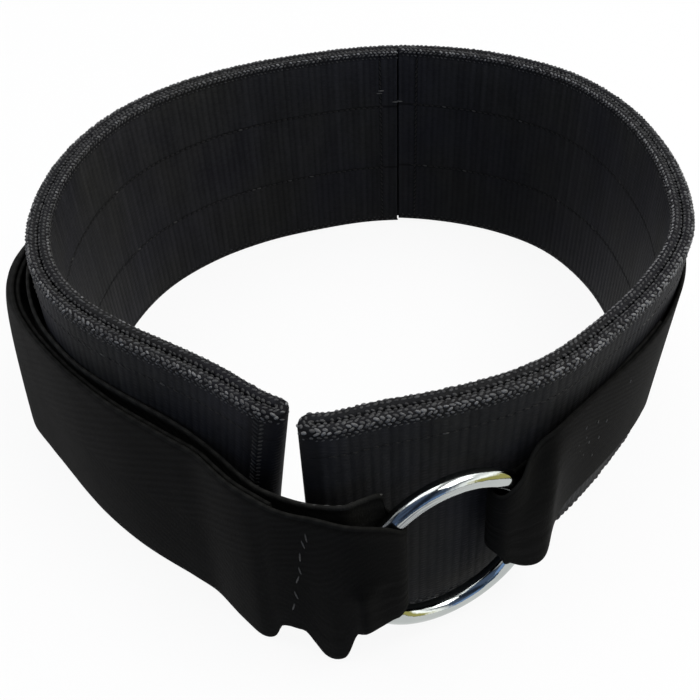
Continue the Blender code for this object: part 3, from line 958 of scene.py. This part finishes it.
def layer_section(rows, angle):
    stand_off = smooth(rows, STAND_OFF, angle)
    bottom = max(smooth(rows, BOTTOM, angle), STRAP_LIFT)
    top = smooth(rows, TOP, angle)
    if rows is TAIL:
        stand_off = stand_off + smooth(rows, FLARE, angle) * (1 - shares()) ** FLARE_CURVE
    return wall_place(angle, stand_off, bottom + (top - bottom) * shares())


def layer_sections(rows, start, end, step):
    return [layer_section(rows, angle) for angle in angles_between(start, end, step)]


def gather_section(along, off, bottom, top, lean=0.0):
    return ring_place(along, off - lean * ease(shares(), 0.5, 1.0), bottom + (top - bottom) * shares())


def gather_sections(side, behind, fold, front):
    """The strap round one side of the ring, from behind it to its front; side is -1 or 1."""
    centre = side * (fold["reach"] + FOLD_RADIUS)
    middle = []
    for t in [math.pi * k / FOLD_SEGMENTS for k in range(FOLD_SEGMENTS + 1)]:
        near = (1 - math.sin(t)) ** 2
        row, blend = (behind[-1], "blend_behind") if t < math.pi / 2 else (front[0], "blend_front")
        edge_bottom, edge_top = row[2:4]
        bottom = fold["bottom"] + (edge_bottom - fold["bottom"]) * near
        top = fold["top"] + (edge_top - fold["top"]) * near * fold[blend]
        along = centre - side * FOLD_RADIUS * math.sin(t)
        middle.append(gather_section(along, -FOLD_RADIUS * math.cos(t), bottom, top))
    return [gather_section(*row) for row in behind] + middle + [gather_section(*row) for row in front]


def tail_angles():
    pleats = angles_between(TAIL[0][0], PLEATS_END, PLEAT_STEP)
    return [*pleats, *angles_between(PLEATS_END, TAIL[-1][0], FRONT_STEP)[1:]]


def dense_cloth(stations, step):
    """Middle of a strap as a fine grid, and the length along it of each coarse and fine station."""
    coarse = np.array(stations)
    steps = np.linalg.norm(np.diff(coarse, axis=0), axis=2).mean(axis=1)
    places = np.concatenate([[0.0], np.cumsum(steps)])
    fine = np.linspace(0, places[-1], int(places[-1] / step) + 1)
    return curve_through(coarse, places, fine), places, fine


def cloth_band(name, middle, length, width, drawn, material, painted_light_and_shade=None):
    """A closed band of even thickness round a fine grid of middle points.

    drawn and the painted light and shade go along the band: how far it is creased, and how much painted
    light and painted shade it gets.
    """
    travel = np.gradient(middle, axis=0)
    climb = np.gradient(middle, axis=1)
    side = unit(np.cross(travel, climb))
    half = STRAP / 2
    turns = np.linspace(0, math.pi, 5)[1:-1][None, :, None]
    upward = unit(climb[:, -1])[:, None, :]
    downward = -unit(climb[:, 0])[:, None, :]
    top = middle[:, -1:] + (side[:, -1:] * np.cos(turns) + upward * np.sin(turns)) * half
    low = middle[:, :1] + (-side[:, :1] * np.cos(turns) + downward * np.sin(turns)) * half
    points = np.concatenate([middle + side * half, top, (middle - side * half)[:, ::-1], low], axis=1)
    share = np.linspace(0, 1, middle.shape[1])
    across = (np.concatenate([share, np.ones(3), share[::-1], np.zeros(3)]) - 0.5) * width
    cloth = side_by_side(points.shape[:2], length[:, None], across, drawn[:, None])
    faces = loft_faces(len(middle), points.shape[1])
    tone = None
    if painted_light_and_shade is not None:
        painted_light, painted_shade = painted_light_and_shade
        # Painted light, less painted shade towards the top edge
        tone = painted_light[:, None] - TOP_PAINTED_SHADE * painted_shade[:, None] * ease(across, *TOP_SHADE_HEIGHTS)
    return add_mesh(name, points, faces, material, cloth, tone)


def strap_stations():
    """Sections of the strap, and the number of the first one of each stretch."""
    stations = layer_sections(TAB_UNDER, TAB_UNDER[0][0], TAB_UNDER[-1][0], FRONT_STEP)
    starts = {"right_gather": len(stations)}
    stations += gather_sections(1, RIGHT_BEHIND, RIGHT_FOLD, RIGHT_FRONT)
    starts["run"] = len(stations)
    stations += layer_sections(RUN, RUN[0][0], 0.0, FRONT_STEP)
    stations += layer_sections(RUN, 0.0, BACK_END, BACK_STEP)[1:]
    stations += layer_sections(RUN, BACK_END, RUN[-1][0], FRONT_STEP)[1:]
    starts["left_gather"] = len(stations)
    stations += gather_sections(-1, LEFT_BEHIND, LEFT_FOLD, LEFT_FRONT)
    starts["tail"] = len(stations)
    return stations + [layer_section(TAIL, angle) for angle in tail_angles()], starts


def soften(grid, length, at, reach, passes, above=0.0):
    """Evens out a fine grid along the cloth, near a place and above a share of its width."""
    along = hill(length, at, reach)[1:-1, None, None]
    across = ease(shares(), above, above + SOFTEN_BLEND)[None, :, None] if above else 1.0
    for _ in range(passes):
        grid[1:-1] += along * across * ((grid[:-2] + grid[2:]) / 2 - grid[1:-1])


def make_strap(material):
    stations, starts = strap_stations()
    grid, places, length = dense_cloth(stations, STRAP_STEP)
    soften(grid, length, places[starts["run"]], BEND_REACH, BEND_PASSES)
    soften(grid, length, places[starts["tail"]], TAIL_BEND_REACH, BEND_PASSES, TAIL_BEND_ABOVE)
    run_places = places[starts["run"]:]
    left_places = places[starts["left_gather"]:]
    # Painted light deep in the shaded gaps by the left gather and in the right gather, and painted shade
    # along the top behind the right gather
    painted_light_in_gaps = ease(length, *run_places[HIDDEN_STATIONS]) * (1 - ease(length, *left_places[SEEN_STATIONS]))
    gathers = [places[(starts["right_gather"] + starts["run"]) // 2], left_places[LEFT_GATHER_STATION]]
    drawn = np.max([hill(length, at, CREASE_REACH) for at in gathers], axis=0)
    painted_shade = hill(length, run_places[TOP_SHADE_STATION], TOP_SHADE_REACH)
    painted_light = painted_light_in_gaps + GATHER_PAINTED_LIGHT * hill(length, gathers[0], GATHER_REACH)
    piece = cloth_band("strap", grid, length, STRAP_WIDTH, drawn, material, (painted_light, painted_shade))
    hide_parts("closing_strap")


def make_backing(material):
    tail = np.array([layer_section(TAIL, angle) for angle in tail_angles()])
    kept = [BACKING_END <= angle <= BACKING_START for angle in tail_angles()]
    middle = (tail + side_of(tail) * (STRAP + 1.5 * CLEARANCE))[kept]
    middle[:, -1, 2] -= BACKING_INSET
    grid, _, length = dense_cloth(middle, STRAP_STEP)
    piece = cloth_band("strap_backing_cloth", grid, length, BACKING_WIDTH, np.zeros(len(length)), material)
    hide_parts("strap_backing")


# Light threads on the strap: upright row near the ring, and loose ends at the right, by angle and height
UPRIGHT_ROW = (
    (264.9, 68), (264.5, 63.8), (264, 57.9), (263.8, 49.4), (263.4, 43.3), (263, 33.8),
    (262.5, 26.3),
)
LOOSE_ENDS = (
    (-53.5, 49.5), (-51.5, 51.7), (-55, 57), (-54.2, 62.5), (-52.6, 58.2), (-50.2, 57.4),
    (-49.6, 45.8), (-47.4, 60.3), (-44.1, 55.6), (-51.3, 64.6), (-48.7, 51.5), (-46, 39.6),
    (-45.3, 48.6), (-38.9, 67.6),
)
TOP_DASH_STEP = 4.5

# Length, width and height of the strap's threads, and their tones
LONG_STITCH = (4.6, 0.65, 0.6)
LOOSE_END = (1.5, 0.8, 0.7)
TOP_DASH = (2.6, 0.8, 0.5)
STITCH_TONE = 0.55
LOOSE_TONE = 0.62


def layer_spot(rows, angle, height):
    """Place on the outer face of a layer of the strap, the way along it, and the way out."""
    before, here, after = (layer_section(rows, angle + step) for step in (-0.3, 0.0, 0.3))
    row = int(np.argmin(np.abs(here[:, 2] - height)))
    travel = unit(after[row] - before[row])
    out = np.array([travel[1], -travel[0], 0.0])
    return here[row] + out * STRAP / 2, travel, out


def make_strap_stitches(material):
    threads = Threads()
    kinds = ((TAIL, UPRIGHT_ROW, LONG_STITCH, STITCH_TONE), (RUN, LOOSE_ENDS, LOOSE_END, LOOSE_TONE))
    for rows, marks, size, tone in kinds:
        spots = [layer_spot(rows, *mark) for mark in marks]
        places, travel, out = (np.array(part) for part in zip(*spots))
        threads.add(places, UP + travel * random.uniform(-0.3, 0.3, (len(marks), 1)), out, size, tone)
    stations, starts = strap_stations()
    near_ring = np.array(stations)[starts["left_gather"] - 2:starts["left_gather"] + 3, -1]
    steps = np.linalg.norm(np.diff(near_ring, axis=0), axis=1)
    lengths = np.concatenate([[0.0], np.cumsum(steps)])
    at = np.arange(1.0, lengths[-1], TOP_DASH_STEP)
    top = np.stack([np.interp(at, lengths, near_ring[:, k]) for k in range(3)], axis=-1)
    travel = unit(np.gradient(top, axis=0))
    ups = np.broadcast_to(UP, top.shape)
    threads.add(top + UP * (STRAP / 2 - 0.2), travel, ups, TOP_DASH, STITCH_TONE)
    threads.make("strap_stitches", material)


def make_ring(material):
    turn = np.linspace(0, 2 * math.pi, RING_SEGMENTS, endpoint=False)
    wire = np.linspace(0, 2 * math.pi, WIRE_SEGMENTS, endpoint=False)
    reach = RING_RADIUS + RING_WIRE_RADIUS * np.cos(wire)[None, :]
    along = reach * np.cos(turn)[:, None]
    rise = reach * np.sin(turn)[:, None]
    off = np.broadcast_to(RING_WIRE_RADIUS * np.sin(wire)[None, :], along.shape)
    yaw, tilt = math.radians(RING_TURN), math.radians(RING_TILT)
    across = np.array([math.cos(yaw), math.sin(yaw), 0.0])
    front = np.array([math.sin(yaw) * math.cos(tilt), -math.cos(yaw) * math.cos(tilt), math.sin(tilt)])
    upward = np.cross(front, across)
    points = np.array(RING_CENTRE) + along[..., None] * across
    points = points + rise[..., None] * upward + off[..., None] * front
    streaks_and_dark_reflection = hill(turn, DARK_REFLECTION_TURN, DARK_REFLECTION_REACH)[:, None]
    cloth = side_by_side(along.shape, turn[:, None] * RING_RADIUS, wire * RING_WIRE_RADIUS, streaks_and_dark_reflection)
    piece = add_mesh("ring", points, grid_faces(RING_SEGMENTS, WIRE_SEGMENTS, True), material, cloth)
    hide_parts("steel_ring")


# Camera, light and floor


def make_camera():
    down, roll = math.radians(CAMERA_DOWN), math.radians(CAMERA_ROLL)
    forward = np.array([0.0, math.cos(down), -math.sin(down)])
    right = np.array([1.0, 0.0, 0.0])
    below = np.cross(forward, right)
    picture_right = math.cos(roll) * right + math.sin(roll) * below
    picture_down = -math.sin(roll) * right + math.cos(roll) * below
    camera = bpy.data.objects.new("camera", bpy.data.cameras.new("camera"))
    bpy.context.scene.collection.objects.link(camera)
    turned = Matrix(np.column_stack([picture_right, -picture_down, -forward]).tolist()).to_4x4()
    turned.translation = (np.array(CAMERA_PLACE) + SHIFT) * MM
    camera.matrix_world = turned
    camera.data.sensor_width = SENSOR
    camera.data.lens = FOCAL_PIXELS / PICTURE_PIXELS * SENSOR
    camera.data.shift_x = (PICTURE_PIXELS / 2 - VIEW_MIDDLE_PIXELS[0]) / PICTURE_PIXELS
    camera.data.clip_start = 0.01
    bpy.context.scene.camera = camera


def make_floor():
    """A pale level floor, with a pale backdrop round it that only the camera sees."""
    nodes = new_material("pale_floor")
    grain = nodes.noise(30.0)
    pale = nodes.ramp(grain, (0.0, FLOOR_TONE * 0.97), (1.0, FLOOR_TONE))
    nodes.finish(Base_Color=pale, Roughness=0.9, Specular_IOR_Level=0.0,
                 Emission_Color=FLOOR_GLOW_COLOUR, Emission_Strength=FLOOR_GLOW)
    turn = np.linspace(0, 2 * math.pi, FLOOR_SIDES, endpoint=False)
    level = np.full(FLOOR_SIDES, FLOOR_LEVEL)
    rim = np.stack([FLOOR_REACH * np.cos(turn), FLOOR_REACH * np.sin(turn), level], axis=-1)
    floor = add_stage("floor", rim, [tuple(range(FLOOR_SIDES))], nodes.material)
    floor.visible_diffuse = False
    rises = np.linspace(0, math.pi / 2, DOME_ROWS)[:-1]
    rings = [rim * (math.cos(t), math.cos(t), 1.0) + UP * FLOOR_REACH * math.sin(t) for t in rises]
    sides_and_lid = loft_faces(len(rises), FLOOR_SIDES)
    sides_and_lid.pop(-2)
    backdrop = add_stage("backdrop", np.concatenate(rings), sides_and_lid, nodes.material)
    backdrop.visible_diffuse = False
    backdrop.visible_glossy = False
    backdrop.visible_shadow = False


def make_world():
    """Soft light from above, behind and both sides; a darker, bluish room in front."""
    world = bpy.data.worlds.new("studio")
    bpy.context.scene.world = world
    world.use_nodes = True
    nodes = Nodes(world.node_tree)
    direction = nodes.add("ShaderNodeTexCoord").outputs["Generated"]
    x, y, z = nodes.split(direction)
    # 0 at the back's horizon, 0.5 overhead, 1 at the front's horizon
    arc = nodes.sum((nodes.math("ARCTAN2", nodes.times(y, -1.0), z), 1 / math.pi), (1.0, 0.5))
    colour = nodes.ramp(arc, *ROOM_ARC)
    spots = nodes.ramp(nodes.noise(5.0, 1.0, direction), (0.61, 0.0), (0.66, 1.0))
    low_front = nodes.ramp(arc, (0.86, 0.0), (0.9, 1.0))
    colour = nodes.mix(nodes.times(spots, low_front), colour, ROOM_SPOTS)
    windows = nodes.ramp(nodes.sum((x, 0.5), (1.0, 0.5)), *ROOM_WINDOWS)
    colour = nodes.tint(colour, windows)
    low = nodes.ramp(z, (0.45, 1.0), (0.7, 0.0))
    for way, tone in ((-1.0, ROOM_LEFT), (1.0, ROOM_RIGHT)):
        to_side = nodes.ramp(nodes.times(x, way), (0.6, 0.0), (0.85, 1.0))
        colour = nodes.mix(nodes.times(to_side, low), colour, tone)
    far_right = nodes.ramp(x, (0.78, 0.0), (0.88, 1.0))
    warm = nodes.times(far_right, nodes.ramp(z, (0.3, 1.0), (0.45, 0.0)))
    colour = nodes.mix(warm, colour, ROOM_WARM)
    above_floor = nodes.ramp(z, (0.0, BELOW_FLOOR), (0.04, 1.0))
    background = world.node_tree.nodes["Background"]
    nodes.fill(background.inputs["Color"], colour)
    nodes.fill(background.inputs["Strength"], nodes.times(above_floor, ROOM_STRENGTH))


def make_key_light():
    """A large soft light, turned towards the belt."""
    light = bpy.data.lights.new("key", "AREA")
    light.size = KEY_SIZE
    light.energy = KEY_ENERGY
    light.color = KEY_COLOUR
    lamp = bpy.data.objects.new("key", light)
    lamp.location = KEY_PLACE
    direction = Vector(KEY_AIM) - Vector(KEY_PLACE)
    lamp.rotation_mode = "QUATERNION"
    lamp.rotation_quaternion = direction.to_track_quat("-Z", "Y")
    bpy.context.scene.collection.objects.link(lamp)


def main():
    bpy.context.scene.view_settings.view_transform = "Standard"
    webbing = webbing_material()
    twill = twill_material()
    loops = thread_material("edge_thread", *EDGE_THREAD)
    stitches = thread_material("stitch_thread", *STITCH_THREAD)
    make_camera()
    make_floor()
    make_world()
    make_key_light()
    make_belt(webbing)
    make_edge_loops("upper_edge_loops", True, loops)
    make_edge_loops("lower_edge_loops", False, loops)
    make_strap(twill)
    make_backing(twill)
    make_belt_stitches(stitches)
    make_strap_stitches(stitches)
    make_ring(steel_material())


main()
